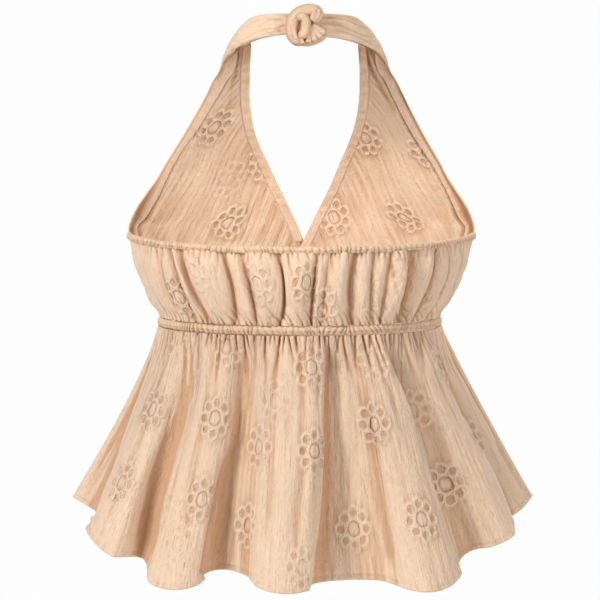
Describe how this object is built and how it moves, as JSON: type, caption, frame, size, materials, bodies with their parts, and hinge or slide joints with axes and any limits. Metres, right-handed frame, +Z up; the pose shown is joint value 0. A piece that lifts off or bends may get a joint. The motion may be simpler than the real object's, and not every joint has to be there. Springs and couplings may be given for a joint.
{
  "type": "halter neck top",
  "caption": "Halter neck top of crinkled cotton: crossed front panels with straps knotted at the nape, a gathered back band between elastic casings and a flared peplum with a dipped hem",
  "frame": {"origin": "the inner face of the neck strap at the nape, at half the strap's height, where the wearer's neck carries the top", "axes": "+Z up, the front of the top faces -Y, the wearer's left is +X"},
  "size_m": [0.427, 0.3396, 0.5071],
  "materials": {
    "cloth": "crinkled cotton gauze with embossed ring flowers, matt, peachy beige"
  },
  "bodies": {
    "root": {"front_left": "cloth", "front_right": "cloth", "neck_facing_left": "cloth", "neck_facing_right": "cloth", "armhole_facing_left": "cloth", "armhole_facing_right": "cloth", "back_panel": "cloth", "back_casing": "cloth", "waist_casing_back": "cloth", "waist_casing_front": "cloth", "peplum_back": "cloth", "peplum_front": "cloth", "knot": "cloth"}
  },
  "joints": []
}
